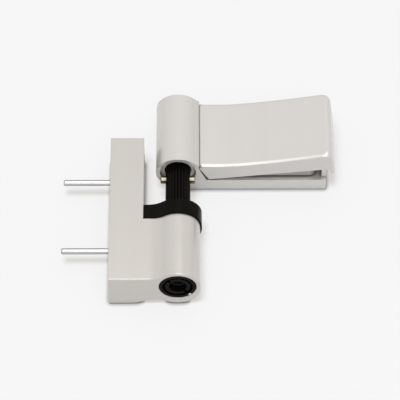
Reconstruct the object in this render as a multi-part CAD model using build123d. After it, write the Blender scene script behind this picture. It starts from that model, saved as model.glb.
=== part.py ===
from build123d import *
import os
from math import acos, atan2, cos, degrees, hypot, radians, sin

# Surface-mounted lift-off door hinge, adjustable, drawn part-way apart along its pin and lying on its back.
# All sizes are in millimetres. While a piece is drawn, the hinge line is the Y axis, +X runs from the frame
# leaf to the sash leaf, +Z is up from the table, and Y = 0 is the upper end of the frame knuckle.

# Barrel and knuckle
barrel_radius = 11.0
barrel_wall = 2.0
axis_height = 14.1
knuckle_length = 36.3
knuckle_foot = 0.4
edge_bevel = 0.5
mouth_bevel = 0.4

# Frame leaf
face_offset = 33.7
flange_width = 16.7
flange_height = 20.8
flange_rise = 50.6
neck_radius = 12.0
waist_lift = 3.0
waist_offset = 10.4
waist_radius = 20.0
waist_blend = 5.0
key_width = 1.5
key_depth = 1.2
key_angle = -45.0

# Fixings of the frame leaf
frame_screw_radius = 2.75
frame_screw_head_radius = 5.2
frame_screw_head_depth = 3.0
frame_screw_spacing = 19.4
frame_screw_height = 32.4
dowel_radius = 1.5
dowel_shank_radius = 2.0
dowel_reach = 23.6
dowel_depth = 9.0
dowel_spacing = 42.0
dowel_mid_height = 8.8
dowel_tip = 0.5

# Bearing insert in the knuckle
insert_collar = 8.7
insert_proud = 0.9
insert_recess = 0.15
insert_fit = 0.05
adjuster_space = 16.1
plug_recess = 2.2
plug_thickness = 1.0
sleeve_wall = 1.55
ring_step = 1.25
ring_height = 1.8
ring_slot = 1.4
key_hole_radius = 4.35
cross_groove_gap = 0.15

# Height adjuster
nut_flats = 10.3
nut_height = 4.5
nut_gap = 0.15
adjuster_radius = 3.0
adjuster_head_radius = 5.1
adjuster_head_height = 4.0
adjuster_socket_flats = 5.0
adjuster_socket_depth = 2.6
adjuster_end_gap = 0.3
nut_drop = 0.4
thread_gap = 0.1

# Hinge pin, shown drawn out of its seat by pin_draw
pin_radius = 6.2
pin_fit = 0.08
pin_floor_gap = 0.15
pin_top_gap = 1.95
pin_draw = 20.0
pin_tip = 0.8
flute_count = 24
flute_width = 0.6
core_radius = 3.5
core_fit = 0.02
cross_pin_radius = 1.9
cross_pin_clear = 0.3
cross_pin_tip = 0.4
cross_pin_seat = 0.1

# Sash leaf
sash_gap = 24.5
sash_length = 41.6
bush_recess = 1.8
bush_fit = 0.05
bush_seat_gap = 0.2
bush_mouth_flare = 0.42
bush_mouth_depth = 1.2
spline_count = 4
snap_rib_height = 0.35
snap_rib_width = 1.6
snap_rib_offset = 26.0
snap_gap = 0.15
end_cap_depth = 3.0
end_cap_groove = 0.5
plate_thickness = 7.9
plate_reach = 74.6
plate_root = 2.0
lip_thickness = 2.4
lip_top = 2.3
lip_setback = 0.2

# Cover over the sash leaf, shown unclipped at its free end
cover_open_angle = 7.6
cover_pivot_offset = 0.9
cover_pivot_z = 4.2
bead_radius = 1.35
cover_gap = 0.25
lip_wrap_angle = 137.0
cover_overhang = 3.0
cover_right_z = 5.45
cover_low_x = 34.0
cover_low_z = 3.35
cover_foot_run = 2.45
cover_foot_gap = 0.45
cover_skirt_drop = 4.2
cover_skirt_round = 2.0
cover_skirt_blend = 1.3
cover_wall = 1.8
cover_setback = 0.4
cover_corner = 4.6
cover_inner_corner = 1.0
cover_edge_round = 3.0
cover_crown_cut = 1.5
cover_end_gap = 0.7
cover_rib_count = 2
cover_rib_width = 7.0
cover_rib_height = 1.6

# Fixing block and its side adjuster
block_shoulder_gap = 3.65
block_lip_gap = 2.5
block_height = 6.5
block_setback = 2.4
block_corner = 4.0
block_foot_bevel = 0.8
block_seat = 0.05
side_travel = 2.0
sash_screw_radius = 2.75
sash_screw_head_radius = 5.0
sash_screw_head_depth = 2.6
sash_screw_spacing_x = 30.0
sash_screw_spacing_y = 20.0
slot_gap = 0.3
side_screw_radius = 2.0
side_screw_length = 27.0
side_screw_head_radius = 3.2
side_screw_head_height = 0.9
side_screw_socket_flats = 2.5
side_screw_socket_depth = 1.1
side_screw_neck_gap = 0.15
clip_thickness = 0.8
clip_radius = 3.0
clip_groove = 0.5
clip_gap = 0.1
clip_notch_gap = 0.4

# Levels and lines that follow from the sizes above
table_z = -axis_height
flange_top = table_z + flange_height
flange_mid = table_z + flange_height / 2
flange_inner_x = -face_offset + flange_width
bore_radius = barrel_radius - barrel_wall
knuckle_end = -knuckle_length
pin_bore_depth = knuckle_length - adjuster_space
plug_radius = bore_radius - insert_fit - sleeve_wall
plug_face = knuckle_end + plug_recess
plug_top = plug_face + plug_thickness
plate_top = table_z + plate_thickness
cross_pin_length = 2 * (bore_radius - cross_pin_clear)
cross_pin_y = insert_collar + cross_pin_seat + pin_draw
sash_start = insert_collar + sash_gap
sash_end = sash_start + sash_length
pin_below = pin_bore_depth + insert_collar + cross_pin_seat - pin_floor_gap
pin_above = cross_pin_radius + bush_seat_gap + sash_length - bush_recess - end_cap_depth - pin_top_gap
cover_pivot_x = barrel_radius + cover_pivot_offset
cover_foot_x = cover_pivot_x + cover_foot_run
cover_reach = plate_reach + cover_overhang
cover_front = sash_start
cover_back = sash_end - cover_setback
cover_mid = (cover_front + cover_back) / 2
block_left = cover_foot_x + block_shoulder_gap
block_right = plate_reach - lip_thickness - block_lip_gap
block_mid_x = (block_left + block_right) / 2
side_screw_z = plate_top + block_seat + block_height / 2


def at(y: float) -> Plane:
    """Drawing plane across the hinge line, with X to the right and Z up."""
    return Plane(origin=(0, y, 0), x_dir=(1, 0, 0), z_dir=(0, -1, 0))


def run(section: Sketch, y_from: float, y_to: float) -> Part:
    """A section drawn in X and Z, run along the hinge line."""
    return extrude(at(y_from) * section, amount=y_to - y_from, dir=(0, 1, 0))


def rod(radius: float, y_from: float, y_to: float) -> Part:
    """A round bar on the hinge line."""
    return run(Circle(radius), y_from, y_to)


def span(x_from: float, x_to: float, z_from: float, z_to: float) -> Sketch:
    """A rectangle between two corners, in X and Z."""
    return Pos((x_from + x_to) / 2, (z_from + z_to) / 2) * Rectangle(x_to - x_from, z_to - z_from)


def cross_bar(radius: float, x_from: float, x_to: float, y: float, z: float) -> Part:
    """A round bar along X."""
    return extrude(Plane(origin=(x_from, y, z), z_dir=(1, 0, 0)) * Circle(radius), amount=x_to - x_from)


def upright(radius: float, x: float, y: float, z_from: float, z_to: float) -> Part:
    """A round bar along Z."""
    return extrude(Plane(origin=(x, y, z_from)) * Circle(radius), amount=z_to - z_from)


def corner(section: Sketch, x: float, z: float) -> Vertex:
    """The corner of a section that lies nearest to a point."""
    return section.vertices().sort_by_distance((x, z, 0))[0]


def on_ring(x: float, z: float, radius: float, angle: float) -> tuple:
    """The point of a circle in X and Z at an angle in degrees."""
    return (x + radius * cos(radians(angle)), z + radius * sin(radians(angle)))


def edges_at(part: Part, y: float) -> ShapeList:
    """The edges that lie in one plane across the hinge line."""
    return part.edges().filter_by_position(Axis.Y, y, y)


def flare(radius: float, width: float, depth: float, y: float) -> Part:
    """A bevelled mouth for a round hole on the hinge line, wider towards the lower end."""
    return Pos(0, y + depth / 2, 0) * Rot(-90, 0, 0) * Cone(radius + width, radius, depth)


def flutes(count: int, lift: float) -> Sketch:
    """Square bars set on their corners round the pin, to cut V-shaped flutes or to make the keys in them."""
    bar = Pos(lift, 0) * Rot(0, 0, 45) * Rectangle(flute_width, flute_width)
    return Sketch() + [place * bar for place in PolarLocations(pin_radius, count)]


def key_bar(y_from: float, y_to: float, margin: float) -> Part:
    """The rib along the knuckle's bore that keeps the bearing insert from turning."""
    reach = key_depth + margin
    rib = Pos(bore_radius - reach / 2 + insert_fit, 0) * Rectangle(reach + 2 * insert_fit, key_width + 2 * margin)
    return run(Rot(0, 0, key_angle) * rib, y_from, y_to)


def knuckle_section(grow: float) -> Sketch:
    """Section of flange, neck and knuckle in one outline, with its rounds and hollow grown by a margin."""
    radius = barrel_radius + grow
    low = table_z + knuckle_foot + radius
    waist_z = table_z + waist_lift - grow
    round_end = Circle(radius) + Pos(0, low) * Circle(radius)
    round_end += span(-radius, radius, min(low, 0), max(low, 0))
    block = span(-face_offset, 0, table_z, flange_top)
    hollow = Pos(-waist_offset, waist_z - waist_radius) * Circle(waist_radius)
    hollow += span(-waist_offset, 0, table_z - axis_height, waist_z)
    section = block - hollow + round_end
    neck_x = -(radius**2 - flange_top**2) ** 0.5
    section = fillet(corner(section, neck_x, flange_top), neck_radius)
    throat_x = -(radius**2 - (waist_z - low) ** 2) ** 0.5
    section = fillet(corner(section, throat_x, waist_z), waist_blend)
    rise_x = -waist_offset - (waist_radius**2 - (waist_radius - waist_lift + grow) ** 2) ** 0.5
    return fillet(corner(section, rise_x, table_z), waist_radius / 2)


def frame_leaf() -> Part:
    """Flange with its knuckle, bored for the insert and drilled for screws and dowels."""
    leaf = run(knuckle_section(0), knuckle_end, 0)
    leaf += run(span(-face_offset, flange_inner_x, table_z, flange_top), 0, flange_rise)
    leaf = chamfer(edges_at(leaf, knuckle_end) + edges_at(leaf, flange_rise), edge_bevel)
    leaf -= rod(bore_radius, knuckle_end, 0)
    leaf -= flare(bore_radius, mouth_bevel, mouth_bevel, knuckle_end)
    leaf += key_bar(knuckle_end, 0, 0)
    for side in (-1, 1):
        y = frame_screw_height + side * frame_screw_spacing / 2
        leaf -= cross_bar(frame_screw_radius, -face_offset, flange_inner_x, y, flange_mid)
        seat = Plane(origin=(flange_inner_x, y, flange_mid), z_dir=(-1, 0, 0))
        cone_depth = frame_screw_head_depth / 2
        leaf -= seat * Pos(0, 0, cone_depth) * Cone(
            frame_screw_head_radius, frame_screw_radius, frame_screw_head_depth
        )
        dowel_y = dowel_mid_height + side * dowel_spacing / 2
        leaf -= cross_bar(dowel_shank_radius, -face_offset, -face_offset + dowel_depth, dowel_y, flange_mid)
    return leaf


def dowel(side: int) -> Part:
    """Steel dowel that locates the frame leaf, with a thicker pressed shank and a bevelled free end."""
    y = dowel_mid_height + side * dowel_spacing / 2
    tip = -face_offset - dowel_reach
    pin = cross_bar(dowel_radius, tip, -face_offset, y, flange_mid)
    pin = chamfer(pin.faces().sort_by(Axis.X)[0].edges(), dowel_tip)
    shank_radius = dowel_shank_radius - core_fit
    return pin + cross_bar(shank_radius, -face_offset, -face_offset + dowel_depth - core_fit, y, flange_mid)


def bearing_insert() -> Part:
    """Moulded bearing: a collar of the knuckle's own outline, and a sleeve down the bore."""
    insert = run(knuckle_section(insert_proud), insert_fit, insert_collar)
    insert = chamfer(edges_at(insert, insert_collar), edge_bevel / 2)
    beside = span(-2 * face_offset, flange_inner_x + insert_fit, 2 * table_z, 2 * axis_height)
    insert -= run(beside, 0, insert_collar)
    sleeve_end = knuckle_end + insert_recess
    insert += rod(bore_radius - insert_fit, sleeve_end, insert_fit)
    insert -= key_bar(sleeve_end, 0, insert_fit)
    insert -= rod(pin_radius + pin_fit, -pin_bore_depth, insert_collar)
    insert -= run(RegularPolygon((nut_flats + 2 * nut_gap) / 2, 6, major_radius=False), plug_top, -pin_bore_depth)
    insert -= rod(plug_radius, sleeve_end, plug_top)
    groove_half = cross_pin_length / 2 + thread_gap
    groove_radius = cross_pin_radius + thread_gap
    groove_y = insert_collar + cross_pin_seat - cross_groove_gap
    insert -= cross_bar(groove_radius, -groove_half, groove_half, groove_y, 0)
    return insert - run(Rectangle(2 * groove_half, 2 * groove_radius), groove_y, insert_collar)


def end_plug() -> Part:
    """Plug that closes the sleeve, with the key hole and a slotted ring round it."""
    plug = rod(plug_radius - insert_fit, plug_face, plug_top - insert_fit)
    plug += rod(plug_radius - ring_step, plug_face - ring_height, plug_face)
    slot = Rot(0, 0, key_angle) * Rectangle(2 * plug_radius, ring_slot)
    plug -= run(slot, plug_face - ring_height, plug_face)
    return plug - rod(key_hole_radius, plug_face - ring_height, plug_top)


def height_screw() -> Part:
    """Socket screw under the pin, turned through the plug with a key."""
    head_end = plug_top + adjuster_end_gap
    head_top = head_end + adjuster_head_height
    screw = rod(adjuster_head_radius, head_end, head_top)
    screw += rod(adjuster_radius, head_top, -pin_bore_depth - nut_drop - thread_gap)
    socket = RegularPolygon(adjuster_socket_flats / 2, 6, major_radius=False)
    return screw - run(socket, head_end, head_end + adjuster_socket_depth)


def lifting_nut() -> Part:
    """Hexagon nut that climbs the height screw and carries the pin."""
    top = -pin_bore_depth - nut_drop
    nut = run(RegularPolygon(nut_flats / 2, 6, major_radius=False), top - nut_height, top)
    return nut - rod(adjuster_radius + thread_gap, top - nut_height, top)


def pin_sleeve() -> Part:
    """Fluted plastic sleeve of the hinge pin."""
    low = cross_pin_y - pin_below
    high = cross_pin_y + pin_above
    sleeve = rod(pin_radius, low, high)
    sleeve = chamfer(edges_at(sleeve, low) + edges_at(sleeve, high), pin_tip)
    sleeve -= run(flutes(flute_count, 0), low, high)
    sleeve -= rod(core_radius + core_fit, low, high)
    return sleeve - cross_bar(cross_pin_radius + core_fit, -pin_radius, pin_radius, cross_pin_y, 0)


def pin_core() -> Part:
    """Steel core of the hinge pin, cross-drilled."""
    core = rod(core_radius, cross_pin_y - pin_below, cross_pin_y + pin_above)
    return core - cross_bar(cross_pin_radius + core_fit, -core_radius, core_radius, cross_pin_y, 0)


def cross_pin() -> Part:
    """Steel pin through the hinge pin, on which the sash bush rests."""
    half = cross_pin_length / 2
    pin = cross_bar(cross_pin_radius, -half, half, cross_pin_y, 0)
    return chamfer(pin.edges().filter_by(GeomType.CIRCLE), cross_pin_tip)


def sash_bush() -> Part:
    """Bush in the sash barrel: keyed to the flutes, snapped into the barrel, which turns round it."""
    low = sash_start + bush_recess
    high = sash_end - end_cap_depth - thread_gap
    rib = sash_start + snap_rib_offset
    bush = rod(bore_radius - bush_fit, low, high)
    bush += rod(bore_radius + snap_rib_height, rib, rib + snap_rib_width)
    bush -= rod(pin_radius + pin_fit, low, high)
    bush -= flare(pin_radius + pin_fit, bush_mouth_flare, bush_mouth_depth, low)
    return bush + run(flutes(spline_count, 2 * pin_fit), low + bush_mouth_depth, high)


def cover_left_edge() -> tuple:
    """Ends of the cover's slanted left edge when closed: where it leaves the bead, and its foot."""
    foot = (cover_foot_x, plate_top + cover_foot_gap)
    to_foot = (foot[0] - cover_pivot_x, foot[1] - cover_pivot_z)
    swing = degrees(acos(bead_radius / hypot(*to_foot)))
    angle = degrees(atan2(to_foot[1], to_foot[0])) - swing
    return angle, on_ring(cover_pivot_x, cover_pivot_z, bead_radius, angle), foot


def sash_section() -> Sketch:
    """Section of the sash leaf: barrel, shoulder with the cover's groove, plate and lip."""
    groove_radius = bead_radius + cover_gap
    tip = on_ring(cover_pivot_x, cover_pivot_z, groove_radius + cover_gap, lip_wrap_angle)
    tangent = degrees(atan2(tip[1], tip[0]) + acos(barrel_radius / hypot(*tip)))
    low_angle, leave, foot = cover_left_edge()
    groove_top = on_ring(cover_pivot_x, cover_pivot_z, groove_radius, lip_wrap_angle)
    groove_low = on_ring(cover_pivot_x, cover_pivot_z, groove_radius, low_angle)
    middle_angle = (lip_wrap_angle + low_angle + 360) / 2
    groove_middle = on_ring(cover_pivot_x, cover_pivot_z, groove_radius, middle_angle)
    slope = (foot[0] - leave[0]) / (foot[1] - leave[1])
    shoulder_foot = (groove_low[0] + slope * (plate_top - groove_low[1]), plate_top)
    outline = Polyline((0, 0), on_ring(0, 0, barrel_radius, tangent), tip, groove_top)
    outline += ThreePointArc(groove_top, groove_middle, groove_low)
    outline += Polyline(
        groove_low,
        shoulder_foot,
        (plate_reach, plate_top),
        (plate_reach, table_z),
        (plate_root, table_z),
        (plate_root, 0),
        (0, 0),
    )
    section = make_face(outline) + Circle(barrel_radius)
    return fillet(corner(section, plate_root, table_z), plate_root / 2)


def sash_leaf() -> Part:
    """Sash leaf with its barrel bored for the bush, slotted for the fixing screws."""
    leaf = run(sash_section(), sash_start, sash_end)
    lip = span(plate_reach - lip_thickness, plate_reach, plate_top, lip_top)
    leaf += run(lip, cover_front + cover_wall + lip_setback, cover_back - cover_wall - lip_setback)
    leaf -= rod(bore_radius, sash_start, sash_end)
    rib = sash_start + snap_rib_offset
    leaf -= rod(bore_radius + snap_rib_height + snap_gap, rib - snap_gap, rib + snap_rib_width + snap_gap)
    slot_radius = sash_screw_radius + slot_gap
    slot = SlotCenterToCenter(2 * side_travel + 2 * slot_gap, 2 * slot_radius)
    slots = Sketch() + [loc * slot for loc in sash_screw_places()]
    leaf -= extrude(Plane(origin=(0, 0, table_z)) * slots, amount=plate_thickness)
    neck = side_screw_radius + side_screw_neck_gap
    return leaf - cross_bar(neck, plate_reach - lip_thickness, plate_reach, cover_mid, side_screw_z)


def sash_screw_places() -> list:
    """Centres of the screws that fix the block to the sash, seen from above."""
    return [
        Pos(block_mid_x + i * sash_screw_spacing_x / 2, cover_mid + j * sash_screw_spacing_y / 2)
        for i in (-1, 1)
        for j in (-1, 1)
    ]


def barrel_end_cap() -> Part:
    """Plug that closes the upper end of the sash barrel."""
    cap = rod(bore_radius - bush_fit, sash_end - end_cap_depth, sash_end)
    return chamfer(edges_at(cap, sash_end), end_cap_groove)


def cover_top(drop: float) -> Curve:
    """The cover's saddle-shaped top line when closed, lowered by a margin."""
    low = (cover_low_x, cover_low_z - drop)
    left = TangentArc(low, (cover_pivot_x, cover_pivot_z + bead_radius - drop), tangent=(-1, 0))
    return left + TangentArc(low, (cover_reach, cover_right_z - drop), tangent=(1, 0))


def cover_shell() -> Part:
    """The cover when closed: a hollow cap with a bead along its left edge."""
    foot_z = plate_top + cover_foot_gap
    end_z = foot_z - cover_skirt_drop
    step_x = plate_reach + cover_end_gap
    angle, leave, foot = cover_left_edge()
    outline = cover_top(0) + Polyline(
        (cover_reach, cover_right_z),
        (cover_reach, end_z),
        (step_x, end_z),
        (step_x, foot_z),
        foot,
        leave,
        (cover_pivot_x, cover_pivot_z),
        (cover_pivot_x, cover_pivot_z + bead_radius),
    )
    section = make_face(outline)
    section = fillet(corner(section, step_x, end_z), cover_skirt_round)
    section = fillet(corner(section, step_x, foot_z), cover_skirt_blend)
    shell = run(section, cover_front - cover_crown_cut, cover_back)
    uprights = shell.edges().filter_by(Axis.Z)
    shell = fillet(uprights.filter_by_position(Axis.X, cover_reach, cover_reach), cover_corner)
    rim = [
        edge
        for edge in shell.edges()
        if edge.center().Z > cover_low_z - cover_edge_round
        and (edge.geom_type != GeomType.LINE or edge.center().X > cover_reach - cover_edge_round)
        and edge.bounding_box().min.Z > cover_low_z - cover_edge_round
    ]
    bead_end = cover_back - cover_edge_round + bead_radius
    bead = run(Pos(cover_pivot_x, cover_pivot_z) * Circle(bead_radius), cover_front + bead_radius / 2, bead_end)
    bead = chamfer(bead.edges().filter_by(GeomType.CIRCLE), bead_radius / 2)
    beyond = span(0, 2 * cover_reach, 2 * table_z, 2 * barrel_radius)
    return fillet(rim, cover_edge_round) - run(beyond, cover_front - cover_crown_cut, cover_front) + bead


def cover_cavity() -> Part:
    """The hollow of the cover when closed, open below and towards the barrel."""
    inner_x = cover_reach - cover_wall
    deep = table_z - axis_height
    under_bead = cover_pivot_z - bead_radius
    beside_bead = cover_pivot_x + bead_radius
    roof = make_face(
        cover_top(cover_wall)
        + Polyline(
            (cover_reach, cover_right_z - cover_wall),
            (cover_reach, deep),
            (cover_pivot_x, deep),
            (cover_pivot_x, cover_pivot_z + bead_radius - cover_wall),
        )
    )
    below = span(0, inner_x, deep, under_bead) + span(beside_bead, inner_x, deep, 2 * barrel_radius)
    left_foot = span(0, beside_bead, deep, under_bead)
    cavity = run((roof & below) + left_foot, cover_front + cover_wall, cover_back - cover_wall)
    inner_corners = cavity.edges().filter_by(Axis.Z).filter_by_position(Axis.X, inner_x, inner_x)
    return fillet(inner_corners, cover_inner_corner)


def cover_cap() -> Part:
    """Cover over the sash leaf's fixings, swung open on its bead as far as it is shown."""
    cover = cover_shell() - cover_cavity()
    rib_reach = cover_reach - cover_wall - plate_reach - cover_end_gap
    rib_z = lip_top - cover_rib_height / 2
    for place in GridLocations(0, sash_screw_spacing_y, 1, cover_rib_count):
        rib = Pos(cover_reach - cover_wall - rib_reach / 2, cover_mid + place.position.Y, rib_z)
        cover += rib * Box(rib_reach, cover_rib_width, cover_rib_height)
    hinge = Axis((cover_pivot_x, 0, cover_pivot_z), (0, 1, 0))
    return cover.rotate(hinge, -cover_open_angle)


def fixing_block() -> Part:
    """Block screwed to the sash through the plate's slots, on which the leaf shifts sideways."""
    low = plate_top + block_seat
    length = block_right - block_left
    width = cover_back - cover_front - 2 * block_setback
    plan = Pos(block_mid_x, cover_mid) * Rectangle(length, width)
    plan = fillet(plan.vertices(), block_corner)
    block = extrude(Plane(origin=(0, 0, low)) * plan, amount=block_height)
    block = chamfer(block.edges().group_by(Axis.Z)[0], block_foot_bevel)
    cone_z = low + block_height - sash_screw_head_depth / 2
    for place in sash_screw_places():
        x = place.position.X
        y = place.position.Y
        block -= upright(sash_screw_radius, x, y, low, low + block_height)
        sink = Cone(sash_screw_radius, sash_screw_head_radius, sash_screw_head_depth)
        block -= Pos(x, y, cone_z) * sink
    tapped = side_screw_radius + thread_gap
    screw_tip = plate_reach - side_screw_length - side_travel
    block -= cross_bar(tapped, screw_tip - thread_gap, block_right, cover_mid, side_screw_z)
    notch_depth = side_travel - (plate_reach - lip_thickness - block_right) + clip_thickness + clip_notch_gap
    notch_half = clip_radius + clip_notch_gap
    notch = Box(2 * notch_depth, 2 * notch_half, 2 * block_height)
    return block - Pos(block_right, cover_mid, side_screw_z) * notch


def side_screw() -> Part:
    """Side adjusting screw, held in the lip by its head and a clip."""
    low = plate_reach - side_screw_length
    head = plate_reach + clip_gap
    screw = cross_bar(side_screw_radius, low, head, cover_mid, side_screw_z)
    screw += cross_bar(side_screw_head_radius, head, head + side_screw_head_height, cover_mid, side_screw_z)
    groove_end = plate_reach - lip_thickness - clip_gap
    groove = cross_bar(side_screw_radius, groove_end - clip_thickness, groove_end, cover_mid, side_screw_z)
    groove -= cross_bar(
        side_screw_radius - clip_groove, groove_end - clip_thickness, groove_end, cover_mid, side_screw_z
    )
    top = Plane(origin=(head + side_screw_head_height, cover_mid, side_screw_z), z_dir=(1, 0, 0))
    socket = RegularPolygon(side_screw_socket_flats / 2, 6, major_radius=False)
    return screw - groove - extrude(top * socket, amount=-side_screw_socket_depth)


def side_screw_clip() -> Part:
    """Spring clip in the side screw's groove, behind the lip."""
    end = plate_reach - lip_thickness - clip_gap
    core = side_screw_radius - clip_groove + core_fit
    start = end - clip_thickness + core_fit
    clip = cross_bar(clip_radius, start, end - core_fit, cover_mid, side_screw_z)
    clip -= cross_bar(core, start, end, cover_mid, side_screw_z)
    mouth = Box(2 * clip_thickness, 2 * core, 2 * clip_radius)
    return clip - Pos(end, cover_mid, side_screw_z - clip_radius) * mouth


pieces = {
    "frame_leaf": frame_leaf(),
    "dowel_pin_upper": dowel(1),
    "dowel_pin_lower": dowel(-1),
    "bearing_insert": bearing_insert(),
    "end_plug": end_plug(),
    "height_screw": height_screw(),
    "lifting_nut": lifting_nut(),
    "pin_sleeve": pin_sleeve(),
    "pin_core": pin_core(),
    "cross_pin": cross_pin(),
    "sash_bush": sash_bush(),
    "sash_leaf": sash_leaf(),
    "barrel_end_cap": barrel_end_cap(),
    "cover_cap": cover_cap(),
    "fixing_block": fixing_block(),
    "side_screw": side_screw(),
    "side_screw_clip": side_screw_clip(),
}

# The finished part's origin is on the frame leaf's mounting face, midway between the dowels.
to_origin = Pos(face_offset, -dowel_mid_height, -flange_mid)
os.makedirs("parts", exist_ok=True)
for name, piece in pieces.items():
    export_step(to_origin * piece, f"parts/{name}.step")
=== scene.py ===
import logging
from dataclasses import dataclass, field, replace
from enum import Enum
from math import cos, radians, sin

import bpy
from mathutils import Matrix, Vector


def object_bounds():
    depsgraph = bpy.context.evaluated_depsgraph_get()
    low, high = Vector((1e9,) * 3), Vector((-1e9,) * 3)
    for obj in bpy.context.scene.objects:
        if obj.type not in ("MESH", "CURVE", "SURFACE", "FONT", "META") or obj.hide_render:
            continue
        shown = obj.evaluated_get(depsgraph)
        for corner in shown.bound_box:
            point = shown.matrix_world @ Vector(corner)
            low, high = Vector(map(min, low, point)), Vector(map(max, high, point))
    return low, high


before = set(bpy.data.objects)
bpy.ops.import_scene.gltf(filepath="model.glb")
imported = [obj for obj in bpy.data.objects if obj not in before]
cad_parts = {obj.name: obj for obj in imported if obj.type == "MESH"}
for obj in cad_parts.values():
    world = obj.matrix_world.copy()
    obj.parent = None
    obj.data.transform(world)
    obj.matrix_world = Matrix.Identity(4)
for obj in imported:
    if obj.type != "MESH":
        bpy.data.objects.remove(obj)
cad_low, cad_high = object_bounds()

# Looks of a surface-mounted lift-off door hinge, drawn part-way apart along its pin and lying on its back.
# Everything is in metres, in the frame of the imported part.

log = logging.getLogger("door_hinge")
Colour = tuple[float, float, float]
Socket = bpy.types.NodeSocket

# Blender's noise seldom leaves this middle band, so a range is spread over it.
NOISE_LOW = 0.3
NOISE_HIGH = 0.7
FINE_OCTAVES = 3.0
CLOUD_OCTAVES = 2.0
# Share of the fine grain in a finish's tone; the broad clouds have the rest.
GRAIN_SHARE = 0.5


class Grain(Enum):
    """How a texture lies: the stretch of its noise along X, Y and Z."""

    EVEN = (1.0, 1.0, 1.0)
    RINGS_ALONG_X = (1.0, 0.03, 0.03)
    RINGS_ALONG_Y = (0.03, 1.0, 0.03)
    LINES_ALONG_X = (0.02, 1.0, 1.0)
    LINES_ALONG_Y = (1.0, 0.02, 1.0)


class ShaderSheet:
    """The node tree of one material, with short calls to add and join its nodes."""

    def __init__(self, name: str) -> None:
        """Start a material that has only its Principled shader.

        Args:
            name: The material's name.
        """
        self.material = bpy.data.materials.new(name)
        self.material.use_nodes = True
        self.tree = self.material.node_tree
        self.shader = self.tree.nodes["Principled BSDF"]

    def add(self, kind: str, **inputs: object) -> bpy.types.Node:
        """Add a node.

        Args:
            kind: Blender's name for the node's type.
            inputs: Values for its inputs, by their names with underscores for spaces.

        Returns:
            The new node.
        """
        node = self.tree.nodes.new(kind)
        for name, value in inputs.items():
            node.inputs[name.replace("_", " ")].default_value = value
        return node

    def settle(self, **inputs: object) -> None:
        """Set inputs of the Principled shader, named with underscores for spaces, to plain values."""
        for name, value in inputs.items():
            self.shader.inputs[name.replace("_", " ")].default_value = value

    def join(self, source: Socket, target: Socket) -> None:
        """Link an output to an input."""
        self.tree.links.new(source, target)

    def noise(self, pitch: float, grain: Grain, octaves: float) -> Socket:
        """Noise in the object's own space.

        Args:
            pitch: Size of one grain, in metres.
            grain: How the grains are drawn out.
            octaves: Octaves of finer noise.

        Returns:
            The noise's value, from 0 to 1.
        """
        place = self.add("ShaderNodeTexCoord")
        scaled = self.add("ShaderNodeMapping", Scale=grain.value)
        pattern = self.add("ShaderNodeTexNoise", Scale=1 / pitch, Detail=octaves)
        self.join(place.outputs["Object"], scaled.inputs["Vector"])
        self.join(scaled.outputs["Vector"], pattern.inputs["Vector"])
        return pattern.outputs["Fac"]

    def range(self, value: Socket, low: float, high: float) -> Socket:
        """Spread the middle band of a noise over a range.

        Args:
            value: The noise.
            low: Result at the band's lower end.
            high: Result at the band's upper end.

        Returns:
            The spread value.
        """
        spread = self.add("ShaderNodeMapRange", From_Min=NOISE_LOW, From_Max=NOISE_HIGH,
                          To_Min=low, To_Max=high)
        self.join(value, spread.inputs["Value"])
        return spread.outputs["Result"]

    def math(self, operation: str, first: Socket, second: Socket | float) -> Socket:
        """Combine a value with another value or a number.

        Args:
            operation: Blender's name for the operation.
            first: The first value.
            second: The second value, or a plain number.

        Returns:
            The combined value.
        """
        node = self.add("ShaderNodeMath")
        node.operation = operation
        self.join(first, node.inputs[0])
        if isinstance(second, float):
            node.inputs[1].default_value = second
        else:
            self.join(second, node.inputs[1])
        return node.outputs["Value"]


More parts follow.
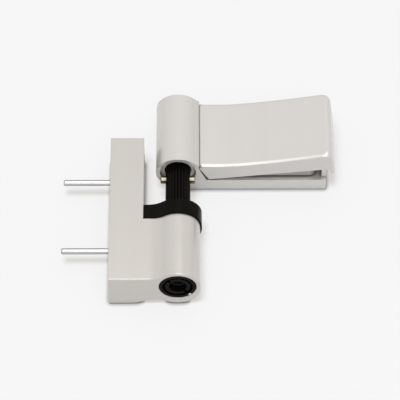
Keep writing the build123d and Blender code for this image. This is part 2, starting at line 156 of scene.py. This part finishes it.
@dataclass(frozen=True)
class Finish:
    """One finish of the hinge, with the fine texture the real one has, and painted shade in its narrow gaps.
    """

    name: str
    slot: str
    colour: Colour
    roughness: float
    metallic: float = 0.0
    specular: float = 0.5
    edge_tint: float = 1.0
    grain: Grain = Grain.EVEN
    grain_pitch: float = 0.0005
    grain_depth: float = 0.000003
    cloud: Grain = Grain.EVEN
    cloud_pitch: float = 0.012
    tone_spread: float = 0.05
    gloss_spread: float = 0.05
    edge_round: float = 0.0003
    # Reach of the painted shade: ambient occlusion within this distance darkens the base colour; zero leaves
    # it out.
    painted_shade_reach: float = 0.0015

    def material(self) -> bpy.types.Material:
        """Build the finish as a node material.

        Returns:
            The material, with colour, gloss and relief varied by noise.
        """
        sheet = ShaderSheet(self.name)
        fine = sheet.noise(self.grain_pitch, self.grain, FINE_OCTAVES)
        self.colour_surface(sheet, fine)
        gloss = sheet.range(fine, self.roughness - self.gloss_spread, self.roughness + self.gloss_spread)
        sheet.join(gloss, sheet.shader.inputs["Roughness"])
        self.raise_relief(sheet, fine)
        tint = (self.edge_tint, self.edge_tint, self.edge_tint, 1.0)
        sheet.settle(Metallic=self.metallic, Specular_IOR_Level=self.specular, Specular_Tint=tint)
        return sheet.material

    def colour_surface(self, sheet: ShaderSheet, fine: Socket) -> None:
        """Vary the colour by grain and broad clouds, and paint shade into it in narrow gaps, where ambient
        occlusion darkens it.

        Args:
            sheet: The finish's node tree.
            fine: The grain, from 0 to 1.
        """
        cloud = sheet.noise(self.cloud_pitch, self.cloud, CLOUD_OCTAVES)
        grains = sheet.range(fine, 0.0, GRAIN_SHARE)
        both = sheet.math("ADD", grains, sheet.range(cloud, 0.0, 1 - GRAIN_SHARE))
        tone = sheet.add("ShaderNodeValToRGB")
        for stop, factor in zip(tone.color_ramp.elements, (1 - self.tone_spread, 1 + self.tone_spread)):
            stop.color = (*(min(1.0, c * factor) for c in self.colour), 1.0)
        sheet.join(both, tone.inputs["Fac"])
        colour = tone.outputs["Color"]
        # Painted shade: ambient occlusion darkens the base colour in gaps within and between pieces.
        if self.painted_shade_reach:
            shade_in_gaps = sheet.add("ShaderNodeAmbientOcclusion", Distance=self.painted_shade_reach)
            sheet.join(colour, shade_in_gaps.inputs["Color"])
            colour = shade_in_gaps.outputs["Color"]
        sheet.join(colour, sheet.shader.inputs["Base Color"])

    def raise_relief(self, sheet: ShaderSheet, height: Socket) -> None:
        """Give the finish its fine relief and softly broken edges.

        Args:
            sheet: The finish's node tree.
            height: The relief's height, from 0 to 1.
        """
        edge = sheet.add("ShaderNodeBevel", Radius=self.edge_round)
        relief = sheet.add("ShaderNodeBump", Strength=1.0, Distance=self.grain_depth)
        sheet.join(height, relief.inputs["Height"])
        sheet.join(edge.outputs["Normal"], relief.inputs["Normal"])
        sheet.join(relief.outputs["Normal"], sheet.shader.inputs["Normal"])


SILVER_PAINT = Finish("satin_silver_paint", "silver_paint", colour=(0.59, 0.566, 0.537), roughness=0.21,
                      metallic=0.4, grain_pitch=0.00012, grain_depth=0.0000004, cloud=Grain.LINES_ALONG_Y,
                      cloud_pitch=0.008, tone_spread=0.02, gloss_spread=0.03)
# A darker copy of the silver paint: painted shade on the frame leaf, standing in for the shade of its rolled
# pose, which the square model lacks.
SHADED_FRAME_PAINT = replace(SILVER_PAINT, name="satin_silver_paint_with_painted_shade", colour=(0.54, 0.511, 0.481))
# The cover's paint leaves out the painted shade in its gaps.
COVER_PAINT = replace(SILVER_PAINT, name="satin_silver_paint_cover", painted_shade_reach=0.0)
BLACK_PLASTIC = Finish("black_moulded_plastic", "black_plastic", colour=(0.0042, 0.0034, 0.0022),
                       roughness=0.26, specular=0.045, grain_depth=0.000006, tone_spread=0.25)
GREY_PLASTIC = Finish("grey_moulded_plastic", "grey_plastic", colour=(0.6, 0.585, 0.56), roughness=0.5,
                      tone_spread=0.06)
BRIGHT_STEEL = Finish("bright_steel_along_x", "bright_steel", colour=(0.52, 0.515, 0.525), roughness=0.14,
                      metallic=1.0, edge_tint=0.0, grain=Grain.RINGS_ALONG_X, grain_pitch=0.0003,
                      grain_depth=0.000001, tone_spread=0.08)
STEEL_ALONG_Y = replace(BRIGHT_STEEL, name="bright_steel_along_y", grain=Grain.RINGS_ALONG_Y)
ZINC_PLATE = replace(BRIGHT_STEEL, name="zinc_plate", colour=(0.34, 0.30, 0.235), roughness=0.22)
BLACK_OXIDE = Finish("black_oxide_steel", "dark_steel", colour=(0.02, 0.02, 0.022), roughness=0.4,
                     metallic=0.6, grain=Grain.RINGS_ALONG_Y, grain_pitch=0.0003, tone_spread=0.2)
SAWN_ALUMINIUM = Finish("sawn_aluminium", "mill_aluminium", colour=(0.37, 0.36, 0.345), roughness=0.42,
                        metallic=0.6, grain=Grain.LINES_ALONG_X, grain_pitch=0.0003, tone_spread=0.08)

Materials = dict[Finish, bpy.types.Material]


@dataclass
class SubAssembly:
    """Pieces of the hinge that belong together."""

    title: str = "sub-assembly"

    def finishes(self) -> dict[str, Finish]:
        """Name the finish of each piece, by the piece's node; the base names none."""
        return {}

    def build(self) -> dict[str, bpy.types.Object]:
        """Take the pieces from the frame, where the solids already have their full shape.

        Returns:
            The pieces, by their nodes.
        """
        pieces = {node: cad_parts[node] for node in self.finishes()}
        log.info("%s: %d pieces", self.title, len(pieces))
        return pieces

    def dress(self, pieces: dict[str, bpy.types.Object], materials: Materials) -> None:
        """Give every piece its material.

        Args:
            pieces: The pieces, by their nodes.
            materials: The built materials, by their finish.
        """
        for node, finish in self.finishes().items():
            pieces[node].data.materials.clear()
            pieces[node].data.materials.append(materials[finish])
            log.info("%s: %s dressed in %s", self.title, node, finish.name)


@dataclass
class FrameLeaf(SubAssembly):
    """Flange with its knuckle, the two dowels, and the bearing insert with its plug."""

    title: str = "frame leaf"
    paint_edge: float = 0.0004
    dowel_edge: float = 0.0003
    moulded_edge: float = 0.0002

    def finishes(self) -> dict[str, Finish]:
        """Name the finish of each piece.

        Returns:
            The finishes, by node.
        """
        steel = replace(BRIGHT_STEEL, edge_round=self.dowel_edge)
        moulded = replace(BLACK_PLASTIC, edge_round=self.moulded_edge)
        return {
            "frame_leaf": replace(SHADED_FRAME_PAINT, edge_round=self.paint_edge),
            "dowel_pin_upper": steel,
            "dowel_pin_lower": steel,
            "bearing_insert": moulded,
            "end_plug": moulded,
        }


@dataclass
class HeightAdjuster(SubAssembly):
    """Socket screw under the pin, and the nut that climbs it."""

    title: str = "height adjuster"
    turned_edge: float = 0.0003

    def finishes(self) -> dict[str, Finish]:
        """Name the finish of each piece.

        Returns:
            The finishes, by node.
        """
        return {
            "height_screw": replace(BLACK_OXIDE, edge_round=self.turned_edge),
            "lifting_nut": replace(STEEL_ALONG_Y, edge_round=self.turned_edge),
        }


@dataclass
class HingePin(SubAssembly):
    """Fluted sleeve on its steel core, with the cross pin through both."""

    title: str = "hinge pin"
    turned_edge: float = 0.0003
    moulded_edge: float = 0.0002

    def finishes(self) -> dict[str, Finish]:
        """Name the finish of each piece.

        Returns:
            The finishes, by node.
        """
        return {
            "pin_sleeve": replace(BLACK_PLASTIC, edge_round=self.moulded_edge),
            "pin_core": replace(STEEL_ALONG_Y, edge_round=self.turned_edge),
            "cross_pin": replace(ZINC_PLATE, edge_round=self.turned_edge),
        }


@dataclass
class SashLeaf(SubAssembly):
    """Barrel, shoulder and plate in one, with the bush and the barrel's end cap."""

    title: str = "sash leaf"
    paint_edge: float = 0.0004
    moulded_edge: float = 0.0003

    def finishes(self) -> dict[str, Finish]:
        """Name the finish of each piece.

        Returns:
            The finishes, by node.
        """
        moulded = replace(GREY_PLASTIC, edge_round=self.moulded_edge)
        return {
            "sash_leaf": replace(SILVER_PAINT, edge_round=self.paint_edge),
            "sash_bush": moulded,
            "barrel_end_cap": moulded,
        }


@dataclass
class Cover(SubAssembly):
    """Cap over the sash leaf's fixings, with crisper edges than the leaves have."""

    title: str = "cover"
    paint_edge: float = 0.00015

    def finishes(self) -> dict[str, Finish]:
        """Name the finish of the cap."""
        return {"cover_cap": replace(COVER_PAINT, edge_round=self.paint_edge)}


@dataclass
class SideAdjuster(SubAssembly):
    """Block that is fixed to the door, and the screw with its clip that shifts the leaf on it."""

    title: str = "side adjuster"
    sawn_edge: float = 0.0003
    turned_edge: float = 0.0003

    def finishes(self) -> dict[str, Finish]:
        """Name the finish of each piece.

        Returns:
            The finishes, by node.
        """
        steel = replace(BRIGHT_STEEL, edge_round=self.turned_edge)
        return {
            "fixing_block": replace(SAWN_ALUMINIUM, edge_round=self.sawn_edge),
            "side_screw": steel,
            "side_screw_clip": steel,
        }


@dataclass
class Camera:
    """The camera at the photograph's viewing angle."""

    elevation: float = radians(53.386)
    yaw: float = radians(0.2)
    target: Vector = field(default_factory=lambda: Vector((0.0447, 0.01049, -0.00038)))
    distance: float = 1.1782
    lens: float = 212.39

    def build(self) -> None:
        """Set the camera up as the scene's."""
        data = bpy.data.cameras.new("photo_camera")
        data.lens = self.lens
        camera = bpy.data.objects.new("photo_camera", data)
        level = cos(self.elevation)
        forward = Vector((sin(self.yaw) * level, cos(self.yaw) * level, -sin(self.elevation)))
        camera.location = self.target - forward * self.distance
        camera.rotation_euler = forward.to_track_quat("-Z", "Y").to_euler()
        bpy.context.scene.collection.objects.link(camera)
        bpy.context.scene.camera = camera
        log.info("camera %.3f m away", self.distance)


@dataclass(frozen=True)
class Softbox:
    """A rectangular area lamp that points at the hinge."""

    name: str
    place: Vector
    width: float
    depth: float
    power: float
    colour: Colour = (1.0, 1.0, 1.0)

    def build(self, target: Vector) -> None:
        """Hang the lamp and aim it.

        Args:
            target: The point that it faces.
        """
        data = bpy.data.lights.new(self.name, "AREA")
        data.shape = "RECTANGLE"
        data.size = self.width
        data.size_y = self.depth
        data.energy = self.power
        data.color = self.colour
        lamp = bpy.data.objects.new(self.name, data)
        lamp.location = self.place
        lamp.rotation_euler = (target - self.place).to_track_quat("-Z", "Y").to_euler()
        bpy.context.scene.collection.objects.link(lamp)
        log.info("%s at %.1f W", self.name, self.power)


@dataclass(frozen=True)
class Downlight:
    """Light from nearly straight above, on the floor alone, for the shadows of what stands clear of it."""

    name: str = "floor_downlight"
    strength: float = 7.5
    spread: float = radians(20.0)
    fall: Vector = field(default_factory=lambda: Vector((0.1, 0.2, -1.0)))
    colour: Colour = (0.93, 1.0, 1.08)

    def build(self, floor: bpy.types.Object) -> None:
        """Hang the light and link it to the floor.

        Args:
            floor: The floor, the only thing that it lights.
        """
        data = bpy.data.lights.new(self.name, "SUN")
        data.energy = self.strength
        data.angle = self.spread
        data.color = self.colour
        lit = bpy.data.collections.new("lit_by_" + self.name)
        lit.objects.link(floor)
        lamp = bpy.data.objects.new(self.name, data)
        lamp.rotation_euler = self.fall.to_track_quat("-Z", "Y").to_euler()
        lamp.light_linking.receiver_collection = lit
        bpy.context.scene.collection.objects.link(lamp)
        log.info("%s at %.1f W/m2", self.name, self.strength)


@dataclass
class Studio:
    """Pale floor with its own light, soft white surroundings, and lamps overhead and in front."""

    floor_half: float = 3.0
    floor_colour: Colour = (0.26, 0.26, 0.26)
    floor_glow: float = 0.6
    floor_white: Colour = (0.948, 0.92, 0.888)
    # Painted contact shadow on the floor's glow: the ambient occlusion's reach, and the power that deepens
    # it.
    painted_shadow_reach: float = 0.0022
    painted_shadow_depth: float = 1.9
    downlight: Downlight = field(default_factory=Downlight)
    sky_levels: tuple[tuple[float, float], ...] = (
        (0.0, 0.76), (0.35, 0.9), (0.72, 0.95), (0.86, 0.82), (1.0, 0.82))
    softboxes: tuple[Softbox, ...] = (
        Softbox("overhead_softbox", place=Vector((0.2, 0.03, 2.4)), width=2.8, depth=1.66, power=25.5),
        Softbox("front_fill", place=Vector((0.3, -1.2, 1.15)), width=0.9, depth=0.6, power=3.0,
                colour=(0.97, 1.0, 0.94)),
    )

    def build(self) -> None:
        """Lay the floor, set the surroundings and hang the lamps."""
        self.lay_floor()
        self.set_surroundings()
        centre = (cad_low + cad_high) / 2
        for softbox in self.softboxes:
            softbox.build(centre)

    def lay_floor(self) -> None:
        """Lay the floor on which the hinge rests."""
        half = self.floor_half
        mesh = bpy.data.meshes.new("floor")
        corners = [(x, y, cad_low.z) for x, y in ((-half, -half), (half, -half), (half, half), (-half, half))]
        mesh.from_pydata(corners, [], [(0, 1, 2, 3)])
        floor = bpy.data.objects.new("floor", mesh)
        sheet = ShaderSheet("floor_paper")
        sheet.settle(Base_Color=(*self.floor_colour, 1.0), Roughness=1.0, Specular_IOR_Level=0.0)
        self.brighten(sheet)
        mesh.materials.append(sheet.material)
        bpy.context.scene.collection.objects.link(floor)
        log.info("floor at %.5f m", cad_low.z)
        self.downlight.build(floor)

    def brighten(self, sheet: ShaderSheet) -> None:
        """Let the floor show nearly white to the eye and in reflections, with the real shadows of its lit
        share and a painted contact shadow where ambient occlusion darkens its glow near the hinge.

        Args:
            sheet: The floor's material.
        """
        rays = sheet.add("ShaderNodeLightPath")
        seen = sheet.math("MAXIMUM", rays.outputs["Is Camera Ray"], rays.outputs["Is Glossy Ray"])
        seen = sheet.math("MAXIMUM", seen, rays.outputs["Is Transmission Ray"])
        share = sheet.math("MULTIPLY", seen, self.floor_glow)
        # Painted shadow: ambient occlusion darkens the floor's glow next to the hinge.
        painted_contact_shadow = sheet.add("ShaderNodeAmbientOcclusion", Distance=self.painted_shadow_reach)
        glow = sheet.add("ShaderNodeEmission", Color=(*self.floor_white, 1.0))
        sheet.join(sheet.math("POWER", painted_contact_shadow.outputs["AO"], self.painted_shadow_depth), glow.inputs["Strength"])
        blend = sheet.add("ShaderNodeMixShader")
        sheet.join(share, blend.inputs["Fac"])
        sheet.join(sheet.shader.outputs["BSDF"], blend.inputs[1])
        sheet.join(glow.outputs["Emission"], blend.inputs[2])
        sheet.join(blend.outputs["Shader"], sheet.tree.nodes["Material Output"].inputs["Surface"])

    def set_surroundings(self) -> None:
        """Surround the hinge with a soft white sky whose level changes with height."""
        world = bpy.data.worlds.new("studio_surroundings")
        world.use_nodes = True
        tree = world.node_tree
        place = tree.nodes.new("ShaderNodeTexCoord")
        parts = tree.nodes.new("ShaderNodeSeparateXYZ")
        ramp = tree.nodes.new("ShaderNodeValToRGB")
        stops = ramp.color_ramp.elements
        while len(stops) < len(self.sky_levels):
            stops.new(1.0)
        for stop, (height, level) in zip(stops, self.sky_levels):
            stop.position = height
            stop.color = (level, level, level, 1.0)
        tree.links.new(place.outputs["Generated"], parts.inputs["Vector"])
        tree.links.new(parts.outputs["Z"], ramp.inputs["Fac"])
        tree.links.new(ramp.outputs["Color"], tree.nodes["Background"].inputs["Color"])
        bpy.context.scene.world = world
        log.info("surroundings with %d levels", len(self.sky_levels))


def main() -> None:
    """Dress the hinge, light it and set up the camera."""
    logging.basicConfig(level=logging.INFO)
    bpy.context.scene.view_settings.view_transform = "Standard"
    groups = (FrameLeaf(), HeightAdjuster(), HingePin(), SashLeaf(), Cover(), SideAdjuster())
    worn = dict.fromkeys(finish for group in groups for finish in group.finishes().values())
    materials = {finish: finish.material() for finish in worn}
    for group in groups:
        group.dress(group.build(), materials)
    Studio().build()
    Camera().build()


if __name__ == "__main__":
    main()
